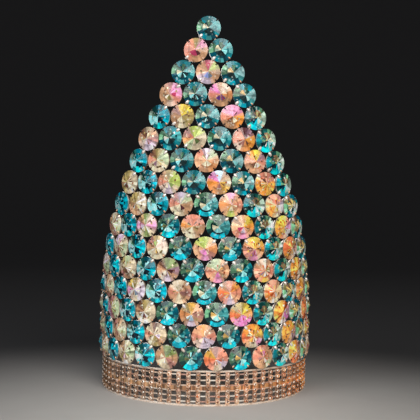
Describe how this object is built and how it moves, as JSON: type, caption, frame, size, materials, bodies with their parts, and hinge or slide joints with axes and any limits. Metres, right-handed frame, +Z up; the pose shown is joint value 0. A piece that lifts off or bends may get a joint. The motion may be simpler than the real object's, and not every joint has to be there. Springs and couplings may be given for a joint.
{
  "type": "pageant tiara",
  "caption": "Tall pointed stage tiara: an open-backed curved wall of round faceted stones in falling aqua and rose diagonals, standing on a pierced ladder band.",
  "frame": {"origin": "on the surface that the band stands on, under the middle of the whole tiara's bounding box", "axes": "+Z up along the tiara's height, -Y out of its front, +X to the viewer's right, the open back at +Y"},
  "size_m": [0.1556, 0.0902, 0.2553],
  "materials": {
    "aqua_glass": "polished, foil-backed",
    "rose_glass": "polished, rainbow-coated",
    "rose_gold": "plated, bright"
  },
  "bodies": {
    "root": {"aqua_string_01": "aqua_glass", "aqua_string_02": "aqua_glass", "aqua_string_03": "aqua_glass", "aqua_string_04": "aqua_glass", "aqua_string_05": "aqua_glass", "aqua_string_06": "aqua_glass", "aqua_string_07": "aqua_glass", "aqua_string_08": "aqua_glass", "rose_string_01": "rose_glass", "rose_string_02": "rose_glass", "rose_string_03": "rose_glass", "rose_string_04": "rose_glass", "rose_string_05": "rose_glass", "rose_string_06": "rose_glass", "rose_string_07": "rose_glass", "rose_string_08": "rose_glass", "base_band": "rose_gold"}
  },
  "joints": []
}
